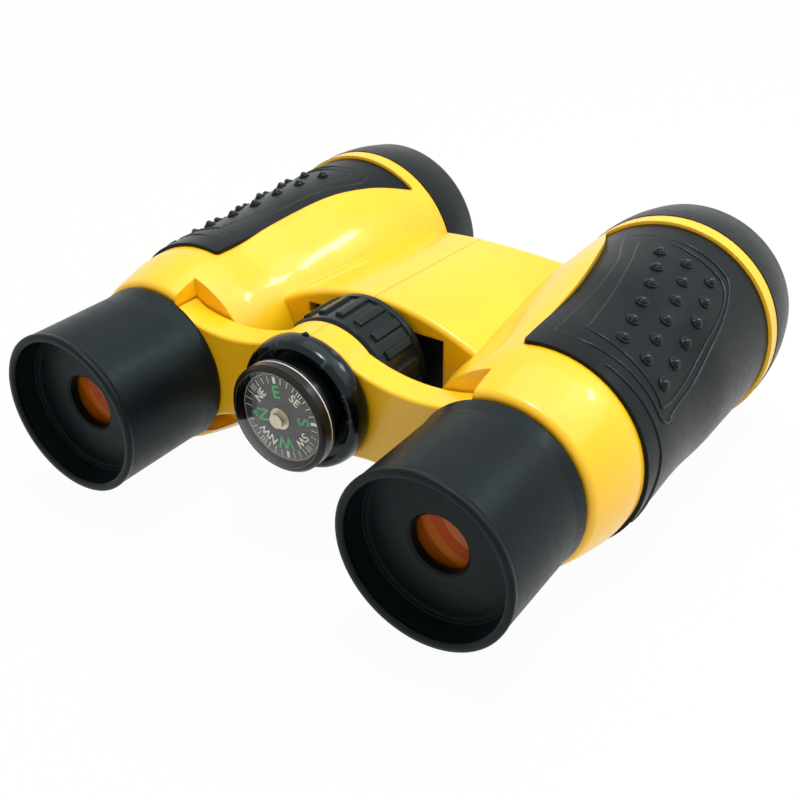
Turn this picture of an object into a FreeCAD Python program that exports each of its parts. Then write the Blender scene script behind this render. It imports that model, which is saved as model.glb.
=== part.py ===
import FreeCAD, Part
import math
import os
from FreeCAD import Vector

# Toy binoculars with a centre focus wheel and a small compass, in millimetres.
# X runs from the left barrel to the right one as the user sees them, Y runs from
# the eyecups to the objectives, and Z runs up. The origin is at the middle of the
# footprint, on the surface that the objective rings stand on.
# A station is a distance along Y, counted from the rims of the eyecups.

# Overall layout
overall_length = 92.3
barrel_spacing = 64.0
hub_rise = 3.93
full_turn = 360.0

# Clearances
running_gap = 0.3
seat_gap = 0.1
press_gap = 0.05
bearing_gap = 0.06
overrun = 30.0

# Eyecup
eyecup_length = 19.8
eyecup_radius = 13.15
eyecup_lip_height = 0.25
eyecup_lip_length = 3.0
eyecup_lip_round = 0.6
eyecup_rim_wall = 1.2
eyecup_floor_wall = 1.55
eyecup_foot_wall = 1.8
eyecup_floor_station = 4.2
eyecup_floor_thickness = 1.6
eyecup_step_width = 0.7
eyecup_step_height = 0.3
eyecup_hole_radius = 4.35
eyecup_hole_bevel = 0.4

# Eyepiece tube, which carries the eyecup behind and slides in the barrel in front
tube_shoulder = 0.7
tube_wall = 1.5
tube_front_length = 15.4
tube_end_wall = 4.0
eye_lens_radius = 6.5
eye_lens_edge = 2.4
eye_lens_hollow = 0.7
eye_lens_ledge = 1.2

# Eyepiece bridge: two arms that meet in a round hub
arm_thickness = 4.8
hub_radius = 10.15
hub_spigot_step = 1.55
hub_spigot_length = 2.2
arm_top_root_inset = 4.3
arm_top_dip_share = 0.5625
arm_top_dip_height = 9.05
arm_top_hub_share = 0.71
arm_bottom_root_inset = 7.5
arm_bottom_dip_share = 0.406
arm_bottom_dip_drop = 4.2
arm_bottom_hub_share = 0.493
arm_edge_round = 0.5

# Barrel and bridge of the body
neck_gap = 0.3
neck_wall = 1.6
neck_round = 1.15
shoulder_rise = 2.2
shoulder_length = 10.9
band_radius = 19.0
band_length = 16.7
flare_along_shares = (0.27, 0.45, 0.63, 0.82)
flare_rise_shares = (0.41, 0.62, 0.82, 0.96)
swell_along_shares = (0.18, 0.36, 0.55, 0.67, 0.85)
swell_rise_shares = (0.07, 0.33, 0.55, 0.70, 0.92)
guide_length = 7.0
barrel_bore_step = 1.4
barrel_bore_share = 0.495
front_spigot_step = 2.4
front_spigot_length = 6.3
front_spigot_wall = 1.55
lens_ledge_depth = 3.9
lens_ledge_width = 0.8
notch_inset = 4.8
notch_depth = 4.9
notch_floor_gap = 0.9
bridge_rear_gap = 1.3
bridge_front_setback = 10.1
bridge_rear_crown = 13.9
bridge_front_crown = 12.1
bridge_arch_radius = 38.0
bridge_root = 6.0
bridge_floor_drop = 8.6
bridge_floor_sag = 1.2
bridge_front_hollow_margin = 1.0
bridge_front_round = 2.4
bridge_rear_round = 0.9
bridge_wall = 1.8
bridge_front_wall = 2.4
window_side = 2.4
window_top = 9.7
window_bottom_drop = 5.4
bracket_rib_thickness = 1.5
bracket_rib_height = 1.2

# Lap joint under the bridge
lap_reach = 7.0
lap_thickness = 1.8
lap_rear_share = 0.347
lap_length_share = 0.491
lap_screw_out = 3.6
lap_screw_count = 2
lap_boss_radius = 2.5
lap_boss_height = 6.0
lap_screw_radius = 1.1
lap_screw_length = 8.2
lap_head_radius = 2.1
lap_head_height = 1.1
lap_head_sink = 0.3
lap_slot_width = 0.6
lap_slot_depth = 0.5

# Rubber grip
grip_rear_setback = 11.6
grip_front_setback = 2.9
grip_rear_proud = 0.6
grip_front_sink = 0.55
grip_thickness = 1.5
grip_along_shares = (0.12, 0.31, 0.43, 0.555, 0.70, 0.85)
grip_rise_shares = (0.11, 0.13, 0.28, 0.58, 0.72, 0.86)
grip_rear_edge_out = 3.6
grip_front_edge_out = 12.1
grip_edge_along_shares = (0.26, 0.505, 0.615, 0.725, 0.835, 0.92)
grip_edge_out_shares = (0.06, 0.18, 0.29, 0.435, 0.62, 0.82)
grip_corner_round = 0.6
bump_radius = 1.05
bump_height = 0.7
bump_front_share = 0.772
bump_rear_share = 0.215
bump_rows = 6
bump_columns = 3
bump_column_angle = 14.7
bump_front_angle = 69.9
bump_rear_angle = 50.6
bump_angle_bend = 0.8

# Objective ring and lens
ring_gap = 0.1
ring_proud = 0.1
ring_length = 11.6
ring_face_fall = 2.1
ring_face_width = 1.4
ring_lip_width = 0.7
ring_lip_depth = 3.8
ring_along_shares = (0.0, 0.30, 0.57, 0.82, 0.95)
ring_fall_shares = (0.0, 0.06, 0.24, 0.50, 0.72)
objective_edge = 2.4
objective_bulge = 0.9

# Focus wheel
wheel_gap = 0.4
wheel_rim_length = 1.6
wheel_rim_round = 0.45
wheel_core_radius = 10.4
wheel_grip_length = 7.0
wheel_bar_radius = 10.9
wheel_bar_width = 1.5
wheel_bar_end_gap = 0.3
wheel_bar_count = 20
wheel_bar_phase = 1.0
wheel_bar_round = 0.3
wheel_collar_radius = 10.7
wheel_collar_thickness = 1.1
wheel_journal_radius = 4.2
wheel_journal_length = 6.0
wheel_bore_radius = 2.8
nut_radius = 4.6
nut_length = 8.0
nut_flange_radius = 5.4
nut_flange_thickness = 0.8

# Focus screw, bracket and retainers
screw_radius = 2.5
screw_tip_reach = 1.3
screw_head_across = 7.0
screw_head_height = 2.9
thrust_gap = 0.2
bracket_thickness = 3.0
washer_width = 1.8
washer_thickness = 0.6
clip_setback = 0.6
clip_thickness = 0.7
clip_groove_depth = 0.6
clip_mouth_width = 5.0

# Compass collar and capsule
collar_swell = 0.5
collar_length = 3.8
collar_mouth_gap = 0.55
collar_recess_depth = 1.0
collar_outline_along_shares = (0.13, 0.40, 0.68, 0.90)
collar_outline_rise_shares = (0.70, 1.0, 0.72, 0.0)
capsule_seat_wall = 0.6
capsule_length = 4.2
capsule_floor = 1.0
capsule_wall = 0.7
capsule_flange_width = 0.65
capsule_flange_thickness = 0.5
window_length = 1.9
window_wall = 0.7
window_dome = 1.5
window_rim_round = 0.4
card_gap = 0.3
card_thickness = 0.5
card_sink = 0.8
bearing_flange_radius = 1.7
bearing_flange_thickness = 0.4
bearing_boss_radius = 1.15
bearing_boss_length = 1.3
bearing_stem_length = 1.6
bearing_bore_radius = 0.56
pivot_radius = 0.5
pivot_tip_gap = 0.25
pivot_tip_length = 0.5
magnet_length = 9.0
magnet_width = 2.9
magnet_thickness = 0.9

# Places that follow from the sizes above
objective_ring_radius = band_radius + ring_proud
axis_height = objective_ring_radius
hub_height = axis_height + hub_rise
half_spacing = barrel_spacing / 2
eyecup_lip_radius = eyecup_radius + eyecup_lip_height
eyecup_rim_bore_radius = eyecup_radius - eyecup_rim_wall
eyecup_floor_radius = eyecup_radius - eyecup_floor_wall
tube_spigot_radius = eyecup_radius - eyecup_foot_wall - press_gap
tube_radius = tube_spigot_radius + tube_shoulder
neck_radius = tube_radius + running_gap + neck_wall
shoulder_radius = neck_radius + shoulder_rise
barrel_rear_bore_radius = tube_radius + barrel_bore_step
front_spigot_radius = band_radius - front_spigot_step
objective_radius = front_spigot_radius - front_spigot_wall - press_gap
barrel_front_bore_radius = objective_radius - lens_ledge_width
ring_face_radius = objective_ring_radius - ring_face_fall
ring_face_inner_radius = ring_face_radius - ring_face_width
ring_lip_radius = objective_radius - ring_lip_width
grip_rear_radius = shoulder_radius + grip_rear_proud
grip_front_radius = band_radius - grip_front_sink
arm_rear = eyecup_length
arm_front = arm_rear + arm_thickness
neck_station = eyecup_length + neck_gap
shoulder_station = neck_station + shoulder_length
band_front_station = overall_length - ring_length
swell_station = band_front_station - band_length
lens_ledge_station = band_front_station + lens_ledge_depth
grip_rear_station = neck_station + grip_rear_setback
grip_front_station = band_front_station - grip_front_setback
grip_length = grip_front_station - grip_rear_station
eyecup_disc_front = eyecup_floor_station + eyecup_floor_thickness
tube_rear = eyecup_disc_front + seat_gap
wheel_rear = arm_front + wheel_gap
wheel_core_rear = wheel_rear + wheel_rim_length
wheel_core_front = wheel_core_rear + wheel_grip_length
wheel_collar_front = wheel_core_front + wheel_collar_thickness
bridge_rear_station = wheel_collar_front + bridge_rear_gap
bridge_front_station = band_front_station - bridge_front_setback
bridge_length = bridge_front_station - bridge_rear_station
bridge_half_width = half_spacing - band_radius + bridge_root
bridge_front_hollow_radius = bridge_half_width + bridge_front_hollow_margin
lap_rear = bridge_rear_station + bridge_length * lap_rear_share
lap_length = bridge_length * lap_length_share
bracket_rear = bridge_rear_station + bridge_wall
bracket_front = bracket_rear + bracket_thickness
wheel_shoulder = bracket_rear - thrust_gap
journal_front = wheel_shoulder + wheel_journal_length
wheel_boss_radius = window_top - hub_rise - wheel_gap
washer_radius = wheel_journal_radius + washer_width
clip_radius = washer_radius - clip_setback
washer_rear = bracket_front
clip_rear = washer_rear + washer_thickness + seat_gap
spigot_rear = arm_rear - hub_spigot_length
capsule_front = spigot_rear - capsule_length
hub_spigot_radius = hub_radius - hub_spigot_step
collar_foot_radius = hub_radius + press_gap
collar_radius = collar_foot_radius + collar_swell
capsule_radius = hub_spigot_radius - capsule_seat_wall
capsule_flange_radius = capsule_radius + capsule_flange_width
window_radius = capsule_flange_radius - press_gap
collar_mouth_radius = capsule_flange_radius + collar_mouth_gap
card_radius = capsule_radius - capsule_wall - card_gap
card_front = capsule_front - card_sink - seat_gap
bearing_front = card_front - bearing_flange_thickness
ahead = Vector(0, 1, 0)
rightward = Vector(1, 0, 0)


def along(station):
    return station - overall_length / 2


def polyline(points):
    """Straight edges through (station, radius) points."""
    places = [Vector(radius, along(station), 0) for station, radius in points]
    return [Part.LineSegment(a, b).toShape() for a, b in zip(places, places[1:])]


def smooth(points):
    """One smooth edge through (station, radius) points."""
    curve = Part.BSplineCurve()
    curve.interpolate([Vector(radius, along(station), 0) for station, radius in points])
    return [curve.toShape()]


def bow(start, middle, end):
    """A circular edge through three (station, radius) points."""
    places = [Vector(radius, along(station), 0) for station, radius in (start, middle, end)]
    return [Part.Arc(*places).toShape()]


def turned(edges, x, z):
    """A solid turned about a line along Y through x and z, from the edges of its half section."""
    wire = Part.Wire(Part.__sortEdges__(edges))
    solid = Part.Face(wire).revolve(Vector(0, 0, 0), ahead, full_turn)
    solid.translate(Vector(x, 0, z))
    return solid


def ring(rear, front, inner, outer, x, z):
    """A plain ring or disc between two stations and two radii."""
    corners = [(rear, inner), (front, inner), (front, outer), (rear, outer), (rear, inner)]
    return turned(polyline(corners), x, z)


def block(left, right, rear, front, bottom, top):
    return Part.makeBox(right - left, front - rear, top - bottom, Vector(left, along(rear), bottom))


def between(start, end, share):
    return start + (end - start) * share


def run(first, last, along_shares, rise_shares):
    """Points from first to last, with the given shares of the way between them."""
    inner = [(between(first[0], last[0], a), between(first[1], last[1], r))
             for a, r in zip(along_shares, rise_shares)]
    return [first] + inner + [last]


def mirrored(shape):
    return shape.mirror(Vector(0, 0, 0), rightward)


def save(name, shapes):
    shapes = shapes if isinstance(shapes, list) else [shapes]
    shape = shapes[0] if len(shapes) == 1 else Part.makeCompound(shapes)
    if len(shape.Solids) == 1:
        shape = shape.Solids[0]
    for solid in shape.Solids:
        if not solid.isValid() or solid.Volume <= 0:
            raise RuntimeError("the solid is not sound: " + name)
    shape.exportStep(os.path.join("parts", name + ".step"))
    print(name, "solids", len(shape.Solids), "volume", round(shape.Volume, 1))


# Eyecup and eyepiece tube

def eyecup():
    """Straight cup with a rounded rim, a lip at its foot and a pierced floor that covers the lens."""
    half_lip = eyecup_lip_round / 2
    foot = eyecup_length - eyecup_lip_length
    outline = [
        (0, eyecup_radius - eyecup_lip_round),
        (half_lip, eyecup_radius - half_lip / 2),
        (eyecup_lip_round * 2, eyecup_radius),
        (foot, eyecup_radius),
        (eyecup_length - eyecup_lip_round, eyecup_lip_radius),
        (eyecup_length, eyecup_radius),
        (eyecup_length, tube_spigot_radius + press_gap),
        (eyecup_disc_front, tube_spigot_radius + press_gap),
        (eyecup_disc_front, eyecup_hole_radius),
        (eyecup_floor_station + eyecup_hole_bevel, eyecup_hole_radius),
        (eyecup_floor_station, eyecup_hole_radius + eyecup_hole_bevel),
        (eyecup_floor_station, eyecup_floor_radius - eyecup_step_width),
        (eyecup_floor_station - eyecup_step_height, eyecup_floor_radius - eyecup_step_width),
        (eyecup_floor_station - eyecup_step_height, eyecup_floor_radius),
        (eyecup_lip_round, eyecup_rim_bore_radius),
        (0, eyecup_rim_bore_radius + half_lip),
    ]
    return turned(polyline(outline + outline[:1]), half_spacing, axis_height)


def eye_lens():
    """Hollow-ground lens that sits in the end of the eyepiece tube."""
    rear = tube_rear
    front = rear + eye_lens_edge
    edges = bow((rear, eye_lens_radius), (rear + eye_lens_hollow, 0), (rear, -eye_lens_radius))
    edges = [turned_half(edges[0])]
    back = bow((front, eye_lens_radius), (front - eye_lens_hollow, 0), (front, -eye_lens_radius))
    edges += [turned_half(back[0])]
    edges += polyline([(rear, eye_lens_radius), (front, eye_lens_radius)])
    edges += polyline([(rear + eye_lens_hollow, 0), (front - eye_lens_hollow, 0)])
    return turned(edges, half_spacing, axis_height)


def turned_half(edge):
    """The half of a symmetric bow that starts at its outer end and stops at the axis."""
    middle = (edge.FirstParameter + edge.LastParameter) / 2
    return edge.Curve.toShape(edge.FirstParameter, middle)


def eye_tube():
    bore = tube_radius - tube_wall
    ledge = tube_rear + eye_lens_edge + seat_gap
    wall_front = tube_rear + tube_end_wall
    front = arm_front + tube_front_length
    outline = [
        (tube_rear, eye_lens_radius + press_gap),
        (tube_rear, tube_spigot_radius),
        (arm_rear, tube_spigot_radius),
        (arm_rear, tube_radius),
        (front, tube_radius),
        (front, bore),
        (arm_rear, bore),
        (wall_front, tube_spigot_radius - tube_wall),
        (wall_front, eye_lens_radius - eye_lens_ledge),
        (ledge, eye_lens_radius - eye_lens_ledge),
        (ledge, eye_lens_radius + press_gap),
    ]
    return turned(polyline(outline + outline[:1]), half_spacing, axis_height)


# Eyepiece bridge

def half_chord(radius, offset):
    """Half the height of a circle at an offset from its middle."""
    return math.sqrt(radius ** 2 - offset ** 2)


def face_point(out, rise):
    """A place on the rear face of the eyepiece bridge."""
    return Vector(out, along(arm_rear), axis_height + rise)


def hub_point(share, side):
    """A place on the rim of the hub, above or below, a share of its radius out."""
    out = hub_radius * share
    return face_point(out, hub_rise + side * half_chord(hub_radius, out))


def root_point(inset, side):
    """A place just inside the eyepiece tube's surface, above or below its axis."""
    return face_point(half_spacing - inset, side * (half_chord(tube_radius, inset) - press_gap))


def arm():
    """Arm with hollowed top and bottom edges, from the hub to the eyepiece tube."""
    top_hub = hub_point(arm_top_hub_share, 1)
    top_dip = face_point(half_spacing * arm_top_dip_share, arm_top_dip_height)
    top_root = root_point(arm_top_root_inset, 1)
    bottom_hub = hub_point(arm_bottom_hub_share, -1)
    bottom_dip = face_point(half_spacing * arm_bottom_dip_share, -arm_bottom_dip_drop)
    bottom_root = root_point(arm_bottom_root_inset, -1)
    top = Part.Arc(top_hub, top_dip, top_root).toShape()
    bottom = Part.Arc(bottom_hub, bottom_dip, bottom_root).toShape()
    hub_side = Part.LineSegment(bottom_hub, top_hub).toShape()
    tube_side = Part.LineSegment(bottom_root, top_root).toShape()
    wire = Part.Wire(Part.__sortEdges__([top, tube_side, bottom, hub_side]))
    plate = Part.Face(wire).extrude(Vector(0, arm_thickness, 0))
    rims = [e for e in plate.Edges if is_flat_at(e, along(arm_rear)) and is_bowed(e)]
    return plate.makeFillet(arm_edge_round, rims)


def hub():
    """Round hub with a spigot behind for the compass collar."""
    outline = [
        (spigot_rear, 0),
        (spigot_rear, hub_spigot_radius),
        (arm_rear, hub_spigot_radius),
        (arm_rear, hub_radius - arm_edge_round),
        (arm_rear + arm_edge_round / 2, hub_radius - arm_edge_round / 4),
        (arm_rear + arm_edge_round, hub_radius),
        (arm_front, hub_radius),
        (arm_front, 0),
    ]
    return turned(polyline(outline + outline[:1]), 0, hub_height)


def hex_prism(across, rear, front):
    corner = across / math.sqrt(3)
    angles = [math.radians(full_turn * k / 6) for k in range(6)]
    places = [Vector(corner * math.cos(a), along(rear), hub_height + corner * math.sin(a)) for a in angles]
    face = Part.Face(Part.makePolygon(places + places[:1]))
    return face.extrude(Vector(0, front - rear, 0))


def eyepiece_bridge_half():
    """Right half: half hub, arm and eyepiece tube in one moulding."""
    plate = arm().fuse(hub())
    bore = ring(arm_rear - overrun, arm_front + overrun, 0, tube_radius - tube_wall,
                half_spacing, axis_height)
    tube = eye_tube()
    half = plate.cut(bore).fuse(tube)
    cutter = block(-overrun, 0, -overrun, overall_length + overrun, 0, hub_height + overrun)
    half = half.cut(cutter)
    pocket = hex_prism(screw_head_across + press_gap * 2, spigot_rear - overrun,
                       spigot_rear + screw_head_height + seat_gap)
    half = half.cut(pocket)
    half = half.cut(ring(spigot_rear, arm_front + overrun, 0, screw_radius + press_gap, 0, hub_height))
    return half.removeSplitter()


def is_flat_at(edge, y):
    box = edge.BoundBox
    return abs(box.YMin - y) < press_gap and abs(box.YMax - y) < press_gap


def is_bowed(edge):
    return isinstance(edge.Curve, Part.Circle)


# Body

def barrel_points():
    """The barrel's outline from its neck to its front band, as (station, radius) points."""
    rear = (neck_station, neck_radius)
    shoulder = (shoulder_station, shoulder_radius)
    swell = (swell_station, band_radius)
    flare = run(rear, shoulder, flare_along_shares, flare_rise_shares)
    swelling = run(shoulder, swell, swell_along_shares, swell_rise_shares)
    return flare + swelling[1:]


def radius_on(points, station):
    """Radius of an outline at a station, on straight lines between its points."""
    for (s0, r0), (s1, r1) in zip(points, points[1:]):
        if station <= s1:
            return between(r0, r1, (station - s0) / (s1 - s0))
    return points[-1][1]


def cavity_half_width():
    """Half the width of the space in the bridge, which stops just short of the barrels."""
    return half_spacing - radius_on(barrel_points(), bracket_front)


def barrel():
    """Flared and swelling tube, with a spigot in front for the objective ring."""
    spigot_front = band_front_station + front_spigot_length
    edges = smooth(barrel_points())
    edges += polyline([
        (swell_station, band_radius),
        (band_front_station, band_radius),
        (band_front_station, front_spigot_radius),
        (spigot_front, front_spigot_radius),
        (spigot_front, 0),
        (neck_station, 0),
        (neck_station, neck_radius),
    ])
    tube = turned(edges, half_spacing, axis_height)
    rim = [e for e in tube.Edges if is_bowed(e) and is_flat_at(e, along(neck_station))]
    return tube.makeFillet(neck_round, rim)


def barrel_bore():
    """The inside of a barrel: guide for the eyepiece tube, light path and lens seat."""
    guide = tube_radius + running_gap
    spigot_front = band_front_station + front_spigot_length
    outline = [
        (neck_station - overrun, 0),
        (neck_station - overrun, guide),
        (neck_station + guide_length, guide),
        (neck_station + guide_length, barrel_rear_bore_radius),
        (between(neck_station, lens_ledge_station, barrel_bore_share), barrel_rear_bore_radius),
        (lens_ledge_station, barrel_front_bore_radius),
        (lens_ledge_station, objective_radius + press_gap),
        (spigot_front + overrun, objective_radius + press_gap),
        (spigot_front + overrun, 0),
    ]
    return turned(polyline(outline + outline[:1]), half_spacing, axis_height)


def bridge_section(station, crown, inset, half_width):
    """Arched section of the bridge, shrunk evenly by the inset."""
    radius = bridge_arch_radius - inset
    top = axis_height + crown - inset
    shoulder = top - radius + math.sqrt(radius ** 2 - half_width ** 2)
    bottom = axis_height - bridge_floor_drop + inset
    y = along(station)
    left_top = Vector(-half_width, y, shoulder)
    right_top = Vector(half_width, y, shoulder)
    left_bottom = Vector(-half_width, y, bottom - bridge_floor_sag)
    right_bottom = Vector(half_width, y, bottom - bridge_floor_sag)
    return Part.Wire([
        Part.LineSegment(left_bottom, left_top).toShape(),
        Part.Arc(left_top, Vector(0, y, top), right_top).toShape(),
        Part.LineSegment(right_top, right_bottom).toShape(),
        Part.Arc(right_bottom, Vector(0, y, bottom), left_bottom).toShape(),
    ])


def crown_at(station):
    share = (station - bridge_rear_station) / (bridge_front_station - bridge_rear_station)
    return between(bridge_rear_crown, bridge_front_crown, share)


def bridge_solid(rear, front, inset, half_width):
    sections = [bridge_section(s, crown_at(s), inset, half_width) for s in (rear, front)]
    return Part.makeLoft(sections, True, True)


def front_hollow(wall):
    """Upright round cutter that hollows the front of the bridge between the barrels."""
    radius = bridge_front_hollow_radius + wall
    centre = Vector(0, along(bridge_front_station) + bridge_front_hollow_radius, -overrun)
    return Part.makeCylinder(radius, hub_height + overrun * 2, centre)


def bridge():
    """Hollow bridge between the barrels, open behind where the focus wheel stands."""
    long_front = bridge_front_station + bridge_front_hollow_radius
    half_width = cavity_half_width()
    window = half_width - window_side
    outside = bridge_solid(bridge_rear_station, long_front, 0, bridge_half_width)
    outside = outside.cut(front_hollow(0))
    outside = outside.Solids[0]
    nose = [e for e in outside.Edges if is_front_top(e)]
    outside = outside.makeFillet(bridge_front_round, nose)
    brow = [e for e in outside.Edges if is_rear_top(e)]
    outside = outside.makeFillet(bridge_rear_round, brow)
    rib_front = bracket_front + seat_gap + bracket_rib_thickness
    slot_front = bracket_front + seat_gap
    slot = bridge_solid(bracket_rear, slot_front, bridge_wall, half_width)
    hole = bridge_solid(slot_front, rib_front, bridge_wall + bracket_rib_height,
                        half_width - bracket_rib_height)
    hall = bridge_solid(rib_front, long_front, bridge_wall, half_width)
    hall = hall.cut(front_hollow(bridge_front_wall)).Solids[0]
    opening = block(-window, window, bridge_rear_station - overrun, bracket_rear,
                    axis_height - window_bottom_drop, axis_height + window_top)
    return outside.cut([slot, hole, hall, opening])


def is_front_top(edge):
    box = edge.BoundBox
    high = box.ZMin > axis_height
    near_front = box.YMin > along(bridge_front_station) - seat_gap
    crosses = box.XLength > bridge_half_width
    return high and near_front and crosses


def is_rear_top(edge):
    high = edge.BoundBox.ZMin > axis_height
    crosses = edge.BoundBox.XLength > bridge_half_width
    return high and crosses and is_flat_at(edge, along(bridge_rear_station))


def notch():
    """Cut in the inner side of a barrel's neck, which lets the arm in."""
    floor = axis_height - half_chord(tube_radius, arm_bottom_root_inset) - notch_floor_gap
    return block(0, half_spacing - notch_inset, neck_station - overrun, neck_station + notch_depth,
                 floor, axis_height + overrun)


def grip_prism(margin):
    """Upright prism whose plan is the outline of the right grip."""
    rear = grip_rear_station - margin
    front = grip_front_station + margin
    edge = run((rear, grip_rear_edge_out + margin), (front, grip_front_edge_out + margin),
               grip_edge_along_shares, grip_edge_out_shares)
    curve = Part.BSplineCurve()
    curve.interpolate([Vector(half_spacing - out, along(s), 0) for s, out in edge])
    far = half_spacing + band_radius + overrun
    rear_inner = Vector(half_spacing - edge[0][1], along(rear), 0)
    front_inner = Vector(half_spacing - edge[-1][1], along(front), 0)
    rear_outer = Vector(far, along(rear), 0)
    front_outer = Vector(far, along(front), 0)
    wire = Part.Wire([
        curve.toShape(),
        Part.LineSegment(front_inner, front_outer).toShape(),
        Part.LineSegment(front_outer, rear_outer).toShape(),
        Part.LineSegment(rear_outer, rear_inner).toShape(),
    ])
    prism = Part.Face(wire).extrude(Vector(0, 0, axis_height * 2 + overrun))
    corners = [e for e in prism.Edges if is_corner(e, rear_inner) or is_corner(e, front_inner)]
    return prism.makeFillet(grip_corner_round + margin, corners)


def is_corner(edge, place):
    box = edge.BoundBox
    return box.ZLength > overrun and math.hypot(box.XMin - place.x, box.YMin - place.y) < press_gap


def grip_points():
    """The grip's surface from its rear edge to its front one, as (station, radius) points."""
    return run((grip_rear_station, grip_rear_radius), (grip_front_station, grip_front_radius),
               grip_along_shares, grip_rise_shares)


def grip_shell(lift, sink):
    """Swelling shell about the right barrel, from the sink under the grip's surface to the lift over it."""
    surface = grip_points()
    outer = [(s, r + lift) for s, r in surface]
    inner = [(s, r - sink) for s, r in surface]
    rear_reach = grip_rear_station - seat_gap
    front_reach = grip_front_station + seat_gap
    outer = [(rear_reach, outer[0][1])] + outer[1:-1] + [(front_reach, outer[-1][1])]
    inner = [(rear_reach, inner[0][1])] + inner[1:-1] + [(front_reach, inner[-1][1])]
    edges = smooth(outer) + smooth(inner)
    edges += polyline([inner[0], outer[0]]) + polyline([inner[-1], outer[-1]])
    return turned(edges, half_spacing, axis_height)


def bump(station, angle):
    """Low round bump, rooted in the grip, whose top points away from the barrel's axis."""
    sphere_radius = (bump_radius ** 2 + bump_height ** 2) / (2 * bump_height)
    reach = radius_on(grip_points(), station) + bump_height - sphere_radius
    turn = math.radians(angle)
    outward = Vector(math.cos(turn), 0, math.sin(turn))
    centre = Vector(half_spacing + reach * outward.x, along(station), axis_height + reach * outward.z)
    return Part.makeSphere(sphere_radius, centre, outward, 0, full_turn / 4, full_turn)


def grip():
    """Rubber panel that wraps the outer side of a barrel, with rows of bumps on top."""
    panel = grip_shell(0, grip_thickness).common(grip_prism(0))
    bumps = []
    for row in range(bump_rows):
        share = row / (bump_rows - 1)
        angle = between(bump_front_angle, bump_rear_angle, share ** bump_angle_bend)
        station = grip_rear_station + grip_length * between(bump_front_share, bump_rear_share, share)
        for column in range(bump_columns):
            offset = (column - (bump_columns - 1) / 2) * bump_column_angle
            bumps.append(bump(station, angle + offset))
    return panel.fuse(bumps)


def lap_stations():
    pitch = lap_length / lap_screw_count
    return [lap_rear + pitch * (k + 0.5) for k in range(lap_screw_count)]


def floor_height(x):
    """Height of the bridge's floor under its inside, where the screws stand."""
    return axis_height - bridge_floor_drop - bridge_floor_sag * (x / bridge_half_width) ** 2


def body_right_half():
    whole = barrel().fuse(bridge())
    right = whole.cut(block(-overrun * 2, 0, -overrun, overall_length + overrun, -overrun, hub_height + overrun))
    right = right.cut([barrel_bore(), notch()])
    recess = grip_shell(overrun, grip_thickness + press_gap).common(grip_prism(press_gap))
    return right.cut(recess)


def lap_tongue():
    """Tongue and screw bosses of the right half, which lie on the floor of the left one."""
    bottom = floor_height(0) + bridge_wall
    rear = lap_rear
    front = rear + lap_length
    top = bottom + lap_thickness
    tongue = block(-lap_reach, lap_reach, rear, front, bottom, top)
    root = block(0, lap_reach, rear, front, bottom - bridge_wall / 2, top)
    tongue = tongue.fuse(root)
    bosses = [Part.makeCylinder(lap_boss_radius, lap_boss_height, Vector(-lap_screw_out, along(s), bottom))
              for s in lap_stations()]
    pilots = [Part.makeCylinder(lap_screw_radius, overrun, Vector(-lap_screw_out, along(s), 0))
              for s in lap_stations()]
    return tongue.fuse(bosses).cut(pilots)


def body_left_half(right_half):
    left = mirrored(right_half)
    for station in lap_stations():
        place = Vector(-lap_screw_out, along(station), 0)
        left = left.cut(Part.makeCylinder(lap_screw_radius + seat_gap, hub_height, place))
        sink = floor_height(lap_screw_out) + lap_head_sink + lap_head_height - seat_gap
        left = left.cut(Part.makeCylinder(lap_head_radius + seat_gap, sink, place))
    return left


def lap_screws():
    """Two slotted screws that hold the body halves together from below."""
    screws = []
    for station in lap_stations():
        seat = floor_height(lap_screw_out) + lap_head_sink + lap_head_height - seat_gap
        place = Vector(-lap_screw_out, along(station), seat - lap_head_height)
        head = Part.makeCylinder(lap_head_radius, lap_head_height, place)
        shank_radius = lap_screw_radius - press_gap
        shank = Part.makeCylinder(shank_radius, lap_screw_length, place)
        slot = Part.makeBox(lap_head_radius * 2, lap_slot_width, lap_slot_depth,
                            place - Vector(lap_head_radius, lap_slot_width / 2, 0))
        screws.append(head.fuse(shank).cut(slot))
    return screws


# Objective end

def objective_ring():
    rear = band_front_station + ring_gap
    front = overall_length
    lip_front = front - ring_lip_depth
    lip_rear = lens_ledge_station + objective_edge + seat_gap
    pocket = front_spigot_radius + press_gap
    start = (rear, objective_ring_radius)
    end = (front, ring_face_radius)
    rim = [(between(rear, front, a), between(objective_ring_radius, ring_face_radius, f))
           for a, f in zip(ring_along_shares, ring_fall_shares)]
    edges = smooth(rim + [end])
    edges += polyline([
        end,
        (front, ring_face_inner_radius),
        (lip_front, ring_lip_radius),
        (lip_rear, ring_lip_radius),
        (lip_rear, pocket),
        (rear, pocket),
        start,
    ])
    return turned(edges, half_spacing, axis_height)


def objective_lens():
    """Lens that bulges on both sides, flat round its edge where it sits on the ledge."""
    rear = lens_ledge_station
    front = rear + objective_edge
    ground = barrel_front_bore_radius
    rear_bow = bow((rear, ground), (rear - objective_bulge, 0), (rear, -ground))
    front_bow = bow((front, ground), (front + objective_bulge, 0), (front, -ground))
    edges = [turned_half(rear_bow[0]), turned_half(front_bow[0])]
    edges += polyline([(rear, ground), (rear, objective_radius), (front, objective_radius), (front, ground)])
    edges += polyline([(rear - objective_bulge, 0), (front + objective_bulge, 0)])
    return turned(edges, half_spacing, axis_height)


# Focus wheel and its parts

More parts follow.
